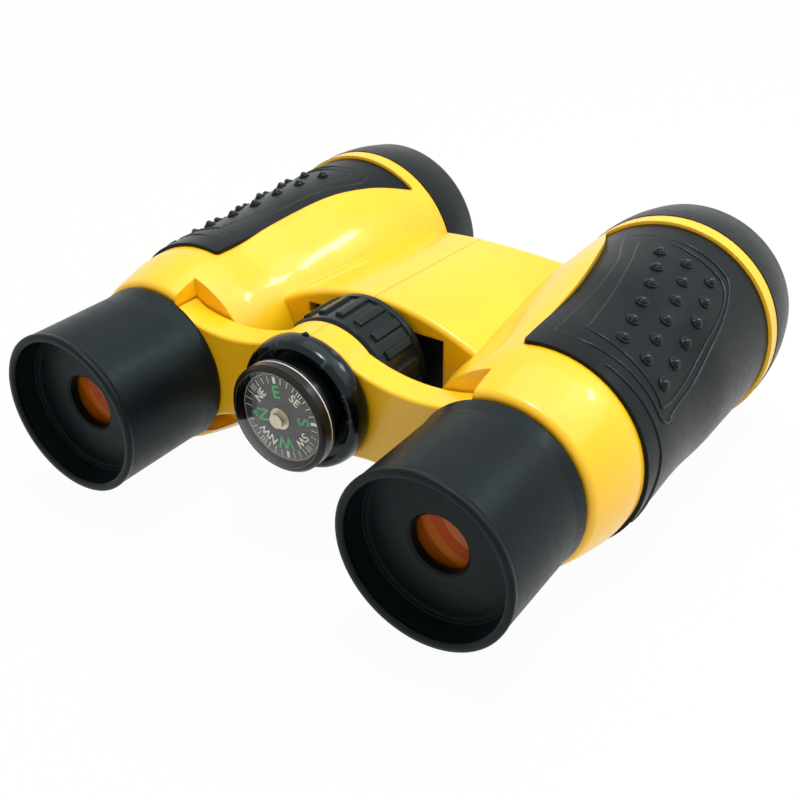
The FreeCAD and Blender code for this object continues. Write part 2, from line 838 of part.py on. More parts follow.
def focus_wheel():
    """Wheel with raised bars, a plain rim behind them, a front collar and a journal."""
    groove = wheel_journal_radius - clip_groove_depth
    groove_front = clip_rear + clip_thickness + seat_gap
    nut_front = wheel_rear + nut_length + seat_gap
    outline = [
        (wheel_rear, nut_flange_radius + press_gap),
        (wheel_rear, wheel_core_radius - wheel_rim_round),
        (wheel_rear + wheel_rim_round, wheel_core_radius),
        (wheel_core_front, wheel_core_radius),
        (wheel_core_front, wheel_collar_radius),
        (wheel_collar_front, wheel_collar_radius),
        (wheel_collar_front, wheel_boss_radius),
        (wheel_shoulder, wheel_boss_radius),
        (wheel_shoulder, wheel_journal_radius),
        (clip_rear, wheel_journal_radius),
        (clip_rear, groove),
        (groove_front, groove),
        (groove_front, wheel_journal_radius),
        (journal_front, wheel_journal_radius),
        (journal_front, wheel_bore_radius),
        (nut_front, wheel_bore_radius),
        (nut_front, nut_radius + press_gap),
        (wheel_rear + nut_flange_thickness, nut_radius + press_gap),
        (wheel_rear + nut_flange_thickness, nut_flange_radius + press_gap),
    ]
    wheel = turned(polyline(outline + outline[:1]), 0, hub_height)
    rear = wheel_core_rear + wheel_bar_end_gap
    length = wheel_core_front - wheel_bar_end_gap - rear
    low = wheel_core_radius - wheel_rim_round
    bar = Part.makeBox(wheel_bar_radius - low, length, wheel_bar_width,
                       Vector(low, along(rear), -wheel_bar_width / 2))
    crest = [e for e in bar.Edges if e.BoundBox.XMin > wheel_bar_radius - press_gap]
    bar = bar.makeFillet(wheel_bar_round, crest)
    bars = []
    for k in range(wheel_bar_count):
        one = bar.copy()
        one.rotate(Vector(0, 0, 0), ahead, wheel_bar_phase + full_turn * k / wheel_bar_count)
        one.translate(Vector(0, 0, hub_height))
        bars.append(one)
    return wheel.fuse(bars)


def focus_nut():
    """Flanged brass nut in the back of the wheel."""
    bore = screw_radius + bearing_gap
    front = wheel_rear + nut_length
    step = wheel_rear + nut_flange_thickness
    outline = [
        (wheel_rear, bore),
        (wheel_rear, nut_flange_radius),
        (step, nut_flange_radius),
        (step, nut_radius),
        (front, nut_radius),
        (front, bore),
    ]
    return turned(polyline(outline + outline[:1]), 0, hub_height)


def focus_screw():
    """Screw fixed in the hub, on which the nut in the wheel runs."""
    rear = spigot_rear
    neck = rear + screw_head_height
    tip = journal_front + screw_tip_reach
    head = hex_prism(screw_head_across, rear, neck)
    chamfer = screw_radius / 4
    outline = [
        (rear, 0),
        (rear, screw_radius),
        (tip - chamfer, screw_radius),
        (tip, screw_radius - chamfer),
        (tip, 0),
    ]
    return head.fuse(turned(polyline(outline + outline[:1]), 0, hub_height))


def focus_bracket():
    """Bearing plate for the wheel, held in slots between the body halves."""
    inset = bridge_wall + seat_gap
    plate = bridge_solid(bracket_rear, bracket_front, inset, cavity_half_width() - seat_gap)
    return plate.cut(ring(bracket_rear - overrun, bracket_front + overrun, 0,
                          wheel_journal_radius + bearing_gap, 0, hub_height))


def thrust_washer():
    return ring(washer_rear, washer_rear + washer_thickness, wheel_journal_radius + bearing_gap,
                washer_radius, 0, hub_height)


def retaining_clip():
    """Open ring that snaps into the groove of the journal."""
    groove = wheel_journal_radius - clip_groove_depth + press_gap
    band = ring(clip_rear, clip_rear + clip_thickness, groove, clip_radius, 0, hub_height)
    mouth = block(-clip_mouth_width / 2, clip_mouth_width / 2, clip_rear - overrun, clip_rear + overrun,
                  hub_height - overrun, hub_height)
    return band.cut(mouth)


# Compass

def compass_collar():
    front = arm_rear
    rear = front - collar_length
    web_rear = rear + collar_recess_depth
    rise = collar_radius - collar_foot_radius
    back = [(between(front, rear, a), collar_foot_radius + rise * r)
            for a, r in zip(collar_outline_along_shares, collar_outline_rise_shares)]
    lip = (rear, collar_mouth_radius + press_gap)
    edges = smooth([(front, collar_foot_radius)] + back + [lip])
    edges += polyline([
        lip,
        (rear + seat_gap, collar_mouth_radius),
        (web_rear, collar_mouth_radius),
        (web_rear, capsule_radius + press_gap),
        (spigot_rear, capsule_radius + press_gap),
        (spigot_rear, hub_spigot_radius + press_gap),
        (front, hub_spigot_radius + press_gap),
        (front, collar_foot_radius),
    ])
    return turned(edges, 0, hub_height)


def compass_capsule():
    """Shallow cup that carries the pivot."""
    rear = capsule_front
    back = spigot_rear
    flange_front = rear + capsule_flange_thickness
    bore = capsule_radius - capsule_wall
    outline = [
        (back, pivot_radius),
        (back, capsule_radius),
        (flange_front, capsule_radius),
        (flange_front, capsule_flange_radius),
        (rear, capsule_flange_radius),
        (rear, bore),
        (back - capsule_floor, bore),
        (back - capsule_floor, pivot_radius),
    ]
    return turned(polyline(outline + outline[:1]), 0, hub_height)


def compass_pivot():
    """Pointed pin that the card turns on."""
    tip = bearing_front + pivot_tip_gap
    outline = [
        (spigot_rear, 0),
        (spigot_rear, pivot_radius - press_gap / 2),
        (tip + pivot_tip_length, pivot_radius - press_gap / 2),
        (tip, press_gap),
        (tip, 0),
    ]
    return turned(polyline(outline + outline[:1]), 0, hub_height)


def compass_window():
    """Clear cap with a domed front."""
    base = capsule_front
    rim = base - window_length
    crown = rim - window_dome
    bore = window_radius - window_wall
    outer = bow((rim, window_radius - window_rim_round), (crown, 0), (rim, window_rim_round - window_radius))
    inner = bow((rim + window_wall, bore), (crown + window_wall, 0), (rim + window_wall, -bore))
    edges = [turned_half(outer[0]), turned_half(inner[0])]
    edges += polyline([(crown, 0), (crown + window_wall, 0)])
    edges += polyline([(rim, window_radius - window_rim_round), (rim + window_rim_round, window_radius),
                       (base, window_radius), (base, bore), (rim + window_wall, bore)])
    return turned(edges, 0, hub_height)


def compass_card():
    stem = bearing_boss_radius + press_gap
    return ring(card_front, card_front + card_thickness, stem, card_radius, 0, hub_height)


def card_bearing():
    """Turned brass cap at the middle of the card, hollow behind for the pivot."""
    rear = card_front - bearing_boss_length
    stem_end = card_front + bearing_stem_length
    outline = [
        (rear, 0),
        (rear, bearing_boss_radius),
        (bearing_front, bearing_boss_radius),
        (bearing_front, bearing_flange_radius),
        (card_front, bearing_flange_radius),
        (card_front, bearing_boss_radius),
        (stem_end, bearing_boss_radius),
        (stem_end, bearing_bore_radius),
        (bearing_front, bearing_bore_radius),
        (bearing_front, 0),
    ]
    return turned(polyline(outline + outline[:1]), 0, hub_height)


def card_magnet():
    """Bar magnet under the card, pierced for the bearing."""
    rear = card_front + card_thickness
    front = rear + magnet_thickness
    bar = block(-magnet_length / 2, magnet_length / 2, rear, front,
                hub_height - magnet_width / 2, hub_height + magnet_width / 2)
    return bar.cut(ring(rear - overrun, front + overrun, 0, bearing_boss_radius + press_gap, 0, hub_height))


os.makedirs("parts", exist_ok=True)
body_right = body_right_half()
save("body_right_half", body_right.fuse(lap_tongue()))
save("body_left_half", body_left_half(body_right))
save("assembly_screws", lap_screws())
for name, maker in (("grip", grip), ("objective_ring", objective_ring), ("objective_lens", objective_lens),
                    ("eyecup", eyecup), ("eyepiece_lens", eye_lens)):
    right = maker()
    save(name + "_right", right)
    save(name + "_left", mirrored(right))
bridge_half = eyepiece_bridge_half()
save("eyepiece_bridge_right", bridge_half)
save("eyepiece_bridge_left", mirrored(bridge_half))
for name, maker in (("focus_wheel", focus_wheel), ("focus_nut", focus_nut), ("focus_screw", focus_screw),
                    ("focus_bracket", focus_bracket), ("thrust_washer", thrust_washer),
                    ("retaining_clip", retaining_clip), ("compass_collar", compass_collar),
                    ("compass_capsule", compass_capsule), ("compass_pivot", compass_pivot),
                    ("compass_window", compass_window), ("compass_card", compass_card),
                    ("card_bearing", card_bearing), ("card_magnet", card_magnet)):
    save(name, maker())
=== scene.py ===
"""Toy binoculars: surface finishes, printed compass marks, grip relief and a plain studio."""
import math

import bmesh
import bpy
from mathutils import Matrix, Vector
from mathutils.bvhtree import BVHTree


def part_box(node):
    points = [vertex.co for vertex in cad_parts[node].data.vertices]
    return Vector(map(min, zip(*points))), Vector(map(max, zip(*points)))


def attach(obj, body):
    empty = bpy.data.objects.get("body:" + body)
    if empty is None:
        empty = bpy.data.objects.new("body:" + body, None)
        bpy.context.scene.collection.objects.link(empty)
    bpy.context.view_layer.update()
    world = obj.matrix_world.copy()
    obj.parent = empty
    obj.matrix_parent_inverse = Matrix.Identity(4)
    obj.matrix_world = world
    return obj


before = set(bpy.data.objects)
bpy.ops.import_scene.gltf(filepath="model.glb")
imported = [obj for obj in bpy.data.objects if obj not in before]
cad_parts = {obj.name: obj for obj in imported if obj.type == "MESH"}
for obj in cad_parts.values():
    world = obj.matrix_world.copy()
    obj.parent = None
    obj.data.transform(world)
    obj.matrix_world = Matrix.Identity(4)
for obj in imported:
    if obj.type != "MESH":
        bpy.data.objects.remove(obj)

bl_info = {
    "name": "Toy binoculars",
    "version": (1, 0, 0),
    "blender": (4, 5, 0),
    "location": "View3D > Sidebar > Toy binoculars",
    "description": "Finishes a pair of toy binoculars and stands them in a plain studio",
    "category": "Object",
}

HOUSING, EYEPIECES, CARD = "housing", "eyepieces", "card"
SIDES = ("right", "left")


# Settings

def from_screen(red, green, blue):
    """A colour as a colour picker shows it, from 0 to 255, as the shader needs it."""
    shares = (red / 255, green / 255, blue / 255)
    return tuple(c / 12.92 if c <= 0.04045 else ((c + 0.055) / 1.055) ** 2.4 for c in shares)


def colour_setting(name, description, default):
    return bpy.props.FloatVectorProperty(name=name, description=description, subtype="COLOR",
                                         size=3, min=0.0, max=1.0, default=default)


def length_setting(name, description, default):
    return bpy.props.FloatProperty(name=name, description=description, default=default,
                                   min=0.0, unit="LENGTH", precision=5)


def share_setting(name, description, default):
    return bpy.props.FloatProperty(name=name, description=description, default=default,
                                   min=0.0, max=1.0, subtype="FACTOR")


def angle_setting(name, description, degrees):
    return bpy.props.FloatProperty(name=name, description=description, subtype="ANGLE",
                                   default=math.radians(degrees))


def place_setting(name, description, default):
    return bpy.props.FloatVectorProperty(name=name, description=description, subtype="XYZ",
                                         unit="LENGTH", size=3, default=default)


def power_setting(name, description, default):
    return bpy.props.FloatProperty(name=name, description=description, unit="POWER",
                                   default=default)


class FinishSettings(bpy.types.PropertyGroup):
    """Colours of the plastics, the rubber, the lenses and the print."""
    shell: colour_setting("Shell", "Yellow of the moulded body and eyepiece bridge",
                          from_screen(255, 209, 16))
    shell_shade: colour_setting("Shell variation", "Deeper yellow that drifts through the shell",
                                from_screen(253, 201, 10))
    rubber: colour_setting("Grips", "Black of the soft side grips", from_screen(18, 23, 26))
    cup: colour_setting("Eyecups", "Black of the matt eyecups", from_screen(9, 16, 20))
    ring: colour_setting("Objective rings", "Black of the front rings", from_screen(14, 19, 21))
    wheel: colour_setting("Focus wheel", "Black of the focus wheel", from_screen(12, 17, 19))
    collar: colour_setting("Compass collar", "Black of the glossy collar", from_screen(5, 8, 11))
    dial: colour_setting("Dial", "Dark grey of the compass card", from_screen(30, 36, 38))
    print_green: colour_setting("Main letters", "Green of N, E, S, W and the north arrow",
                                from_screen(40, 168, 96))
    print_white: colour_setting("Small letters", "White of the ticks and the half-way letters",
                                from_screen(232, 236, 236))
    amber: colour_setting("Lenses", "Amber of the tinted lenses", from_screen(214, 106, 22))


class DialSettings(bpy.types.PropertyGroup):
    """Sizes of the marks printed on the compass card."""
    turn: angle_setting("North", "Where north stands, clockwise from the top", 261.5)
    ink: length_setting("Ink thickness", "How far the print stands off the card", 0.00004)
    tick_outer: length_setting("Tick end", "Radius at which the ticks end", 0.0066)
    tick_length: length_setting("Tick length", "Length of a tick", 0.0011)
    tick_width: length_setting("Tick width", "Width of a thin tick", 0.00012)
    block_width: length_setting("Block width", "Width of the blocks at the main points", 0.00052)
    main_height: length_setting("Main letter height", "Size of the text of N, E, S and W", 0.0029)
    main_radius: length_setting("Main letter radius", "Distance of E, S and W from the middle",
                                0.00415)
    north_radius: length_setting("North radius", "Distance of the N from the middle", 0.0034)
    small_height: length_setting("Small letter height", "Size of the half-way letters", 0.0019)
    small_radius: length_setting("Small letter radius", "Distance of the half-way letters",
                                 0.00455)
    arrow_width: length_setting("Arrow width", "Width of the north arrow", 0.0015)
    arrow_height: length_setting("Arrow height", "Height of the north arrow", 0.00115)
    arrow_gap: length_setting("Arrow gap", "From the middle of the N to the arrow", 0.0011)


class ReliefSettings(bpy.types.PropertyGroup):
    """Sizes of the raised lines, knobs and rims on the grips."""
    line_width: length_setting("Line width", "Width of a raised line", 0.00045)
    line_sink: share_setting("Line sink", "Share of a line that lies in the grip", 0.5)
    line_fade: share_setting("Line fade", "Share that lies in the grip where it fades", 0.86)
    knob_radius: length_setting("Knob radius", "Radius of the knob on each bump", 0.00062)
    knob_rise: length_setting("Knob rise", "How far a knob stands above its bump", 0.00022)
    dish_radius: length_setting("Dish radius", "Radius of the rim round each bump", 0.00098)
    dish_width: length_setting("Dish rim", "Width of the rim round each bump", 0.00024)


class StudioSettings(bpy.types.PropertyGroup):
    """The camera and the lamps."""
    camera_place: place_setting("Camera place", "Where the camera stands",
                                (0.08850, -0.13356, 0.10459))
    camera_target: place_setting("Camera target", "The point in the middle of the picture",
                                 (-0.006742, 0.00685, 0.003652))
    camera_roll: angle_setting("Camera roll", "Turn of the camera about its own line", -0.46)
    camera_lens: bpy.props.FloatProperty(
        name="Camera lens", description="Focal length", unit="CAMERA", default=48.447)
    overhead_power: power_setting("Overhead lamp", "Power of the large overhead panel", 1.2)
    right_power: power_setting("Right panel", "Power of the large panel on the right", 0.95)
    small_power: power_setting("Small lamp", "Power of the small softbox overhead", 1.6)
    side_power: power_setting("Side lamp", "Power of the softbox at the front right", 0.6)
    ambient: share_setting("Ambient light", "Strength of the light from all round", 0.55)
    ambient_colour: colour_setting("Ambient colour", "Colour of the light from all round",
                                   (1.0, 0.80, 0.55))


# Nodes of the shaders

# Sockets of a colour mix node, which have no names of their own
MIX_SHARE, MIX_FIRST, MIX_SECOND, MIX_RESULT = 0, 6, 7, 2
WHITE = (1.0, 1.0, 1.0)


def feed(tree, socket, value):
    """Gives an input a value or the output of another node."""
    if isinstance(value, bpy.types.NodeSocket):
        tree.links.new(value, socket)
    else:
        socket.default_value = value


def add_node(tree, kind, inputs=(), **settings):
    node = tree.nodes.new(kind)
    for key, value in settings.items():
        setattr(node, key, value)
    for socket, value in dict(inputs).items():
        feed(tree, node.inputs[socket], value)
    return node


def mixed(tree, share, first, second):
    """A colour between two others, each a colour or the output of a node."""
    inputs = {MIX_SHARE: share}
    for index, colour in ((MIX_FIRST, first), (MIX_SECOND, second)):
        flat = not isinstance(colour, bpy.types.NodeSocket)
        inputs[index] = (*colour, 1.0) if flat else colour
    return add_node(tree, "ShaderNodeMix", inputs, data_type="RGBA").outputs[MIX_RESULT]


def calculated(tree, operation, *values):
    node = add_node(tree, "ShaderNodeMath", dict(enumerate(values)), operation=operation)
    return node.outputs[0]


def toned(colour, share):
    """A colour with each part made lighter or darker by the same share."""
    return tuple(part * share for part in colour)


class Finish:
    """One shader and the patterns that drive its colour, gloss and relief."""

    def __init__(self, name, roughness, specular=0.5, metallic=0.0):
        self.material = bpy.data.materials.new(name)
        self.material.use_nodes = True
        self.tree = self.material.node_tree
        self.shader = self.tree.nodes["Principled BSDF"]
        self.set("Roughness", roughness)
        self.set("Specular IOR Level", specular)
        self.set("Metallic", metallic)
        self.place = self.add("ShaderNodeTexCoord").outputs["Object"]

    def set(self, name, value):
        feed(self.tree, self.shader.inputs[name], value)

    def add(self, kind, inputs=(), **settings):
        return add_node(self.tree, kind, inputs, **settings)

    def noise(self, per_metre, detail=2.0, roughness=0.5):
        node = self.add("ShaderNodeTexNoise", {"Vector": self.place, "Scale": per_metre,
                                               "Detail": detail, "Roughness": roughness})
        return node.outputs["Fac"]

    def calculate(self, operation, *values):
        return calculated(self.tree, operation, *values)

    def spread(self, value, low, high, start=0.0, end=1.0):
        """The value brought from low..high to start..end, smoothly and without overshoot."""
        node = self.add("ShaderNodeMapRange", {"Value": value, "From Min": low, "From Max": high,
                                               "To Min": start, "To Max": end},
                        interpolation_type="SMOOTHSTEP")
        return node.outputs["Result"]

    def clouds(self, per_metre, detail, start=0.0, end=1.0, low=0.3, high=0.7):
        """Noise whose part from low to high goes from start to end."""
        return self.spread(self.noise(per_metre, detail), low, high, start, end)

    def colours(self, share, first, second):
        return mixed(self.tree, share, first, second)

    def axis(self, letter):
        return self.add("ShaderNodeSeparateXYZ", {"Vector": self.place}).outputs[letter]

    def off_axis(self, x, z):
        """Distance from the line along Y through x and z."""
        across = self.calculate("SUBTRACT", self.axis("X"), x)
        up = self.calculate("SUBTRACT", self.axis("Z"), z)
        square = self.calculate("ADD", self.calculate("MULTIPLY", across, across),
                                self.calculate("MULTIPLY", up, up))
        return self.calculate("SQRT", square)

    def soft_edges(self, radius):
        """A normal that rolls over the edges, as if they were rounded to this radius."""
        return self.add("ShaderNodeBevel", {"Radius": radius}, samples=6).outputs["Normal"]

    def relief(self, height, depth, under=None):
        inputs = {"Height": height, "Distance": depth, "Strength": 1.0}
        if under is not None:
            inputs["Normal"] = under
        normal = self.add("ShaderNodeBump", inputs).outputs["Normal"]
        self.set("Normal", normal)
        return normal

    def colour(self, value):
        self.set("Base Color", value)

    def gloss(self, value):
        self.set("Roughness", value)

    def coat(self, weight, roughness):
        self.set("Coat Weight", weight)
        self.set("Coat Roughness", roughness)


# Finishes

# The seam between two halves: half its width and where it ends, its depth and its tone
SEAM_CORE, SEAM_EDGE, SEAM_DEPTH = 0.00003, 0.00010, 0.000006
SEAM_TONE = (0.72, 0.80, 1.0)

# Light that the dark plastics and the print throw back, a little blue and green
COOL_REFLECTION = (0.74, 0.95, 1.0, 1.0)
# Weight and roughness of a coat that does nothing
NO_COAT = (0.0, 0.03)

# The pale rim of the dial starts and is full at these distances from its edge
DIAL_RIM_START, DIAL_RIM_FULL = 0.00022, 0.00010

# The window: its wall, and distances from its edge, its front and the end of its wall, for its
# dark rim and the highlights painted on the rim's edges
WINDOW_WALL = 0.0019
WINDOW_RIM_START, WINDOW_RIM_FULL = 0.00098, 0.00084
WINDOW_FRONT_START, WINDOW_FRONT_FULL = 0.00022, 0.00014
WINDOW_REAR_FULL, WINDOW_REAR_END = 0.00008, 0.00016
WINDOW_LIT_START, WINDOW_LIT_FULL = 0.0003, 0.0001

ACRYLIC_INDEX = 1.49

# Painted rings that stand for the tube behind an eye lens and the reflections in it: outer radius
# and colour, from the middle out
PAINTED_EYE_RINGS = (
    (0.0045, (168, 98, 64)),
    (0.0064, (150, 60, 8)),
    (0.0079, (160, 88, 8)),
    (0.0080, (104, 54, 12)),
    (0.0095, (122, 66, 14)),
    (0.0200, (150, 84, 30)),
)
EYE_RING_BLUR = 0.00006
# The painted rings copy a view at a slant, so their middle lies off the middle of the lens
EYE_RING_RIGHT, EYE_RING_UP = 0.0036, 0.0038

GROOVES_PER_METRE = 52000.0


def moulded_yellow(settings):
    """Smooth yellow with a clear skin and the seam down the middle."""
    finish = Finish("moulded_yellow", roughness=0.36)
    base = finish.colours(finish.clouds(55, 3), settings.shell, settings.shell_shade)
    off_middle = finish.calculate("ABSOLUTE", finish.axis("X"))
    seam = finish.spread(off_middle, SEAM_CORE, SEAM_EDGE, start=1.0, end=0.0)
    dark = tuple(part * share for part, share in zip(settings.shell_shade, SEAM_TONE))
    finish.colour(finish.colours(seam, base, dark))
    finish.gloss(finish.clouds(260, 4, 0.33, 0.40))
    skin = finish.relief(finish.noise(160), depth=0.00001, under=finish.soft_edges(0.0006))
    finish.relief(seam, depth=-SEAM_DEPTH, under=skin)
    finish.coat(weight=0.35, roughness=0.05)
    return finish.material


def grained_plastic(name, colour, roughness, grain_per_metre=5000, grain_depth=0.000003,
                    specular=0.15, edges=0.0003, coat=NO_COAT):
    """Plastic or rubber with a fine grain and softened edges."""
    finish = Finish(name, roughness, specular)
    finish.set("Specular Tint", COOL_REFLECTION)
    finish.colour(finish.colours(finish.clouds(120, 3), colour, toned(colour, 1.35)))
    finish.gloss(finish.clouds(700, 3, roughness - 0.03, roughness + 0.03))
    finish.relief(finish.noise(grain_per_metre, 3, 0.6), grain_depth,
                  under=finish.soft_edges(edges))
    finish.coat(*coat)
    return finish.material


def collar_gloss(settings):
    """Glossy black with small scratches in a few patches."""
    finish = Finish("collar_gloss", roughness=0.17, specular=0.3)
    finish.set("Specular Tint", COOL_REFLECTION)
    marks = finish.spread(finish.noise(900, detail=6, roughness=0.75), 0.5, 0.75)
    patches = finish.clouds(210, 2, low=0.56, high=0.68)
    scratches = finish.calculate("MULTIPLY", marks, patches)
    finish.colour(finish.colours(scratches, settings.collar, from_screen(120, 123, 126)))
    finish.gloss(finish.spread(scratches, 0.0, 0.6, 0.17, 0.5))
    finish.relief(finish.noise(800, 4, 0.6), depth=0.00004)
    return finish.material


def dial_card(settings, edge_radius, x, z):
    """Dark grey with pale specks and a pale edge."""
    finish = Finish("dial_card", roughness=0.6, specular=0.3)
    specks = finish.clouds(3200, 2, low=0.78, high=0.82)
    base = finish.colours(finish.clouds(300, 3), settings.dial, toned(settings.dial, 0.85))
    specked = finish.colours(finish.calculate("MULTIPLY", specks, 0.5), base,
                             settings.print_white)
    rim = finish.spread(finish.off_axis(x, z), edge_radius - DIAL_RIM_START,
                        edge_radius - DIAL_RIM_FULL)
    finish.colour(finish.colours(rim, specked, from_screen(150, 152, 150)))
    finish.relief(finish.noise(4000), depth=0.000008)
    return finish.material


def clear_acrylic(hub, edge_radius, wall_front):
    """Clear in the middle, dark in the thick rim, with highlights painted along the rim's two
    edges.
    """
    finish = Finish("clear_acrylic", roughness=0.03, specular=0.25)
    radius = finish.off_axis(hub.x, hub.z)
    rim = finish.spread(radius, edge_radius - WINDOW_RIM_START, edge_radius - WINDOW_RIM_FULL)
    along = finish.axis("Y")
    front = finish.spread(along, wall_front - WINDOW_FRONT_START, wall_front - WINDOW_FRONT_FULL)
    from_rear = finish.calculate("ABSOLUTE", finish.calculate("SUBTRACT", along,
                                                              wall_front - WINDOW_WALL))
    rear = finish.spread(from_rear, WINDOW_REAR_FULL, WINDOW_REAR_END, start=1.0, end=0.0)
    # Pale lines painted along the rim's front and rear edges stand for highlights on them
    edge = finish.calculate("MULTIPLY", finish.calculate("MAXIMUM", front, rear),
                            finish.spread(radius, edge_radius - WINDOW_LIT_START,
                                          edge_radius - WINDOW_LIT_FULL))
    rim_and_painted_highlights = finish.colours(edge, from_screen(22, 20, 18), from_screen(236, 236, 232))
    finish.colour(finish.colours(rim, from_screen(250, 251, 250), rim_and_painted_highlights))
    # A clear pane mirrors 4 percent from straight ahead and more at a slant
    glancing = finish.add("ShaderNodeLayerWeight", {"Blend": 0.5}).outputs["Facing"]
    mirrored = finish.calculate("MULTIPLY_ADD", finish.calculate("POWER", glancing, 5.0),
                                0.9, 0.04)
    finish.set("Alpha", finish.calculate("MAXIMUM", mirrored, rim))
    finish.gloss(finish.calculate("MULTIPLY_ADD", rim, 0.25,
                                  finish.clouds(500, 4, 0.03, 0.09, low=0.4, high=0.8)))
    finish.set("Metallic", finish.calculate("SUBTRACT", 1.0, rim))
    return finish.material


def amber_lens(name, settings, opacity):
    """Tinted lens; the light path behind it shows through."""
    finish = Finish(name, roughness=0.03)
    finish.colour(finish.colours(finish.clouds(140, 2, low=0.35, high=0.7), settings.amber,
                                 toned(settings.amber, 0.85)))
    finish.gloss(finish.clouds(400, 3, 0.02, 0.07, low=0.35, high=0.75))
    finish.set("Transmission Weight", 1.0)
    finish.set("IOR", ACRYLIC_INDEX)
    finish.set("Alpha", opacity)
    return finish.material


def eye_lens(settings, x, z):
    """Amber lens with painted rings that stand for the tube behind it and the reflections in it.
    """
    finish = Finish("eye_lens", roughness=0.08, specular=0.06)
    height = z + EYE_RING_UP
    radius = finish.calculate("MINIMUM", finish.off_axis(EYE_RING_RIGHT + x, height),
                              finish.off_axis(EYE_RING_RIGHT - x, height))
    # The rings painted here stand for the tube behind the lens and the reflections in it
    colour = from_screen(*PAINTED_EYE_RINGS[0][1])
    for (edge, _), (_, outer) in zip(PAINTED_EYE_RINGS, PAINTED_EYE_RINGS[1:]):
        colour = finish.colours(
            finish.spread(radius, edge - EYE_RING_BLUR, edge + EYE_RING_BLUR), colour,
            from_screen(*outer))
    drift = finish.clouds(250, 3, 0.0, 0.3, high=0.75)
    finish.colour(finish.colours(drift, colour, toned(settings.amber, 0.7)))
    finish.gloss(finish.clouds(400, 3, 0.05, 0.12, low=0.35, high=0.75))
    return finish.material


def turned_metal(name, colour, hub):
    """Metal with the fine grooves of a lathe about the line along Y through the hub."""
    finish = Finish(name, roughness=0.3, metallic=1.0)
    grooves = finish.calculate("SINE", finish.calculate("MULTIPLY", finish.off_axis(hub.x, hub.z),
                                                        GROOVES_PER_METRE))
    wear = finish.noise(900, 4, 0.6)
    finish.colour(finish.colours(finish.spread(wear, 0.35, 0.75), colour, toned(colour, 0.72)))
    finish.gloss(finish.spread(wear, 0.3, 0.7, 0.24, 0.4))
    finish.relief(grooves, depth=0.000004)
    return finish.material


def zinc_plate(name):
    finish = Finish(name, roughness=0.35, metallic=1.0)
    grey = from_screen(176, 176, 172)
    finish.colour(finish.colours(finish.clouds(800, 4), grey, toned(grey, 0.7)))
    finish.gloss(finish.clouds(1200, 3, 0.28, 0.45))
    finish.relief(finish.noise(3000), depth=0.00001)
    return finish.material


# Pieces

def dress(node, material):
    """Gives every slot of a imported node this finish."""
    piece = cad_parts[node]
    if not piece.material_slots:
        piece.data.materials.append(material)
    for slot in piece.material_slots:
        slot.material = material


def paint(piece, material, body):
    """Finishes a new piece and lets it ride on a body."""
    piece.data.materials.clear()
    piece.data.materials.append(material)
    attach(piece, body)


def new_piece(name, data):
    piece = bpy.data.objects.new(name, data)
    bpy.context.scene.collection.objects.link(piece)
    return piece


def finished_mesh(name, shape, smooth=False):
    """A mesh from a bmesh, with its faces pointing outwards."""
    bmesh.ops.recalc_face_normals(shape, faces=shape.faces)
    mesh = bpy.data.meshes.new(name)
    shape.to_mesh(mesh)
    shape.free()
    if smooth:
        mesh.shade_smooth()
    return mesh


def curve_mesh(curve, place, centred=False):
    """The mesh of a text or flat curve, moved to its place."""
    holder = bpy.data.objects.new(curve.name, curve)
    bpy.context.scene.collection.objects.link(holder)
    depsgraph = bpy.context.evaluated_depsgraph_get()
    mesh = bpy.data.meshes.new_from_object(holder.evaluated_get(depsgraph))
    bpy.data.objects.remove(holder)
    if centred:
        spots = [[vertex.co[axis] for vertex in mesh.vertices] for axis in range(2)]
        offset = [-(min(spot) + max(spot)) / 2 for spot in spots]
        mesh.transform(Matrix.Translation((*offset, 0)))
    mesh.transform(place)
    return mesh


def middle(node):
    low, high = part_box(node)
    return (low + high) / 2


def outward(side):
    """1 on the right and -1 on the left."""
    return 1 if side == "right" else -1


def barrel_axis(side):
    """The point of a barrel's axis at y = 0."""
    lens = middle("objective_lens_right")
    return Vector((outward(side) * lens.x, 0, lens.z))


def way_out(side, angle):
    """The direction out from a barrel's axis, at an angle above the outer side."""
    return Vector((outward(side) * math.cos(angle), 0, math.sin(angle)))


# Grip relief

# Points of the two closed lines: share of the grip's length from its rear, and distance out from
# the barrel's axis as a share of the reach
FIELD = ((0.16, 0.17), (0.20, 0.13), (0.42, 0.06), (0.65, -0.04), (0.83, -0.14), (0.855, 0.05),
         (0.84, 0.49), (0.815, 0.65), (0.72, 0.735), (0.48, 0.79), (0.18, 0.815), (0.155, 0.72))
BORDER = ((0.085, 0.02), (0.16, -0.05), (0.44, -0.085), (0.64, -0.15), (0.86, -0.30),
          (0.89, 0.08), (0.88, 0.54), (0.84, 0.68), (0.68, 0.78), (0.44, 0.835), (0.225, 0.848),
          (0.175, 0.862), (0.142, 0.856), (0.122, 0.825), (0.116, 0.74))
GRIP_REACH = 0.01845
# The hem: distance from the eyecup rims and degrees above the outer side
HEM = ((0.0339, 62), (0.0348, 40), (0.0353, 25), (0.0357, 10), (0.0353, 0), (0.0344, -12.5),
       (0.0338, -35))
STEPS_BETWEEN = 8
# The closed lines are nearly worn away on the inner side: distances out from the axis
FADE_START, FADE_END = 0.0010, 0.0050
# Far enough out for a ray to start clear of the grip
CLEAR = 0.1

# Bumps: rows from the front to the rear, and columns from the outer side to the inner one
BUMP_ROWS, BUMP_COLUMNS = 6, 3
# Share along the grip, and degrees above the outer side for the middle column
FRONT_ROW_SHARE, REAR_ROW_SHARE = 0.772, 0.215
FRONT_ROW_ANGLE, REAR_ROW_ANGLE, ROW_ANGLE_BEND = 69.9, 50.6, 0.8
COLUMN_ANGLE = 14.7
DISH_STEPS = 20


def grip_surface(side):
    depsgraph = bpy.context.evaluated_depsgraph_get()
    return BVHTree.FromObject(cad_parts["grip_" + side], depsgraph)


def strike(surface, start, direction):
    hit, normal, _, _ = surface.ray_cast(start, direction)
    if hit is None:
        raise RuntimeError("a relief line leaves its grip")
    return hit, normal


